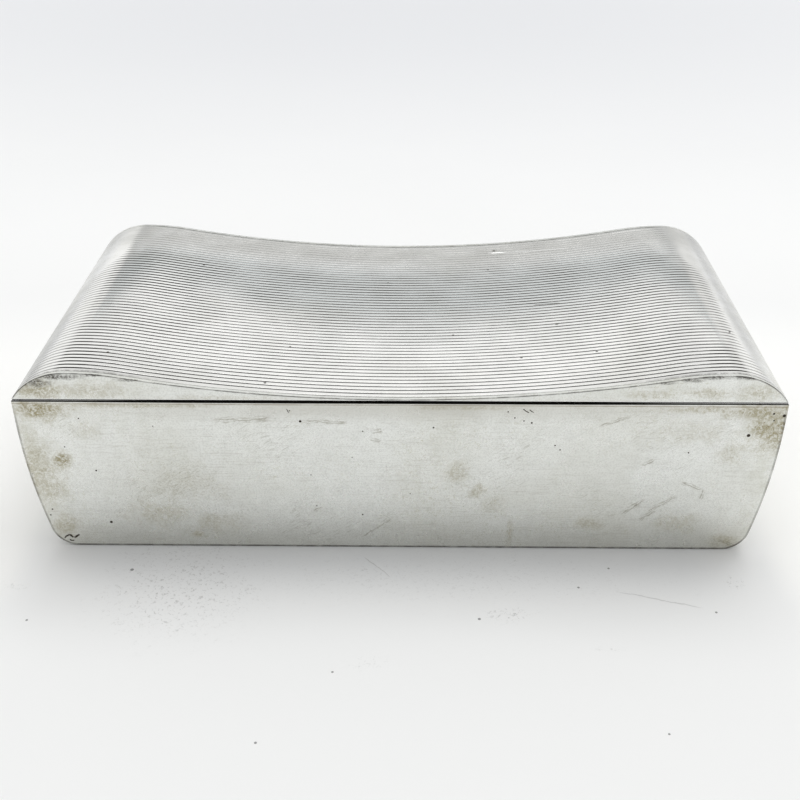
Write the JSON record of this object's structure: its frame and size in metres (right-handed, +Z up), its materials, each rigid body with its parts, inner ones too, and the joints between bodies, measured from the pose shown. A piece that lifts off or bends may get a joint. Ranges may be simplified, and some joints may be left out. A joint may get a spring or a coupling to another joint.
{
  "type": "cigarette box",
  "caption": "Oblong silver table box with bulging ends, a concave reeded lid on a full-length back hinge, and a divided cedar lining.",
  "frame": {"origin": "centre of the underside, between the front and back faces of the body", "axes": "+X along the box to the right as seen from the front, +Y from the front to the hinge at the back, +Z up"},
  "size_m": [0.1754, 0.0893, 0.0483],
  "materials": {
    "silver": "worn polish on solid silver sheet, lightly tarnished",
    "reeded_silver": "reeded silver sheet, bright crowns and dark grooves",
    "hinge_silver": "drawn silver tube, satin",
    "pin_steel": "drawn wire",
    "cedar": "bare planed cedar"
  },
  "bodies": {
    "box": {"front_plate": "silver", "back_plate": "silver", "wrap_band": "silver", "box_hinge_bearer": "hinge_silver", "box_knuckle_1": "hinge_silver", "box_knuckle_2": "hinge_silver", "box_knuckle_3": "hinge_silver", "box_knuckle_4": "hinge_silver", "hinge_pin": "pin_steel", "cedar_floor": "cedar", "cedar_front": "cedar", "cedar_back": "cedar", "cedar_left_end": "cedar", "cedar_right_end": "cedar", "cedar_divider": "cedar"},
    "lid": {"lid_top": "reeded_silver", "lid_front_wall": "silver", "lid_back_wall": "silver", "lid_hinge_bearer": "hinge_silver", "lid_knuckle_1": "hinge_silver", "lid_knuckle_2": "hinge_silver", "lid_knuckle_3": "hinge_silver"}
  },
  "joints": [
    {"name": "lid_hinge", "type": "hinge", "parent": "box", "child": "lid", "pos_m": [0, 0.0434, 0.0385], "axis": [-1, 0, 0], "range_deg": [0, 104]}
  ]
}
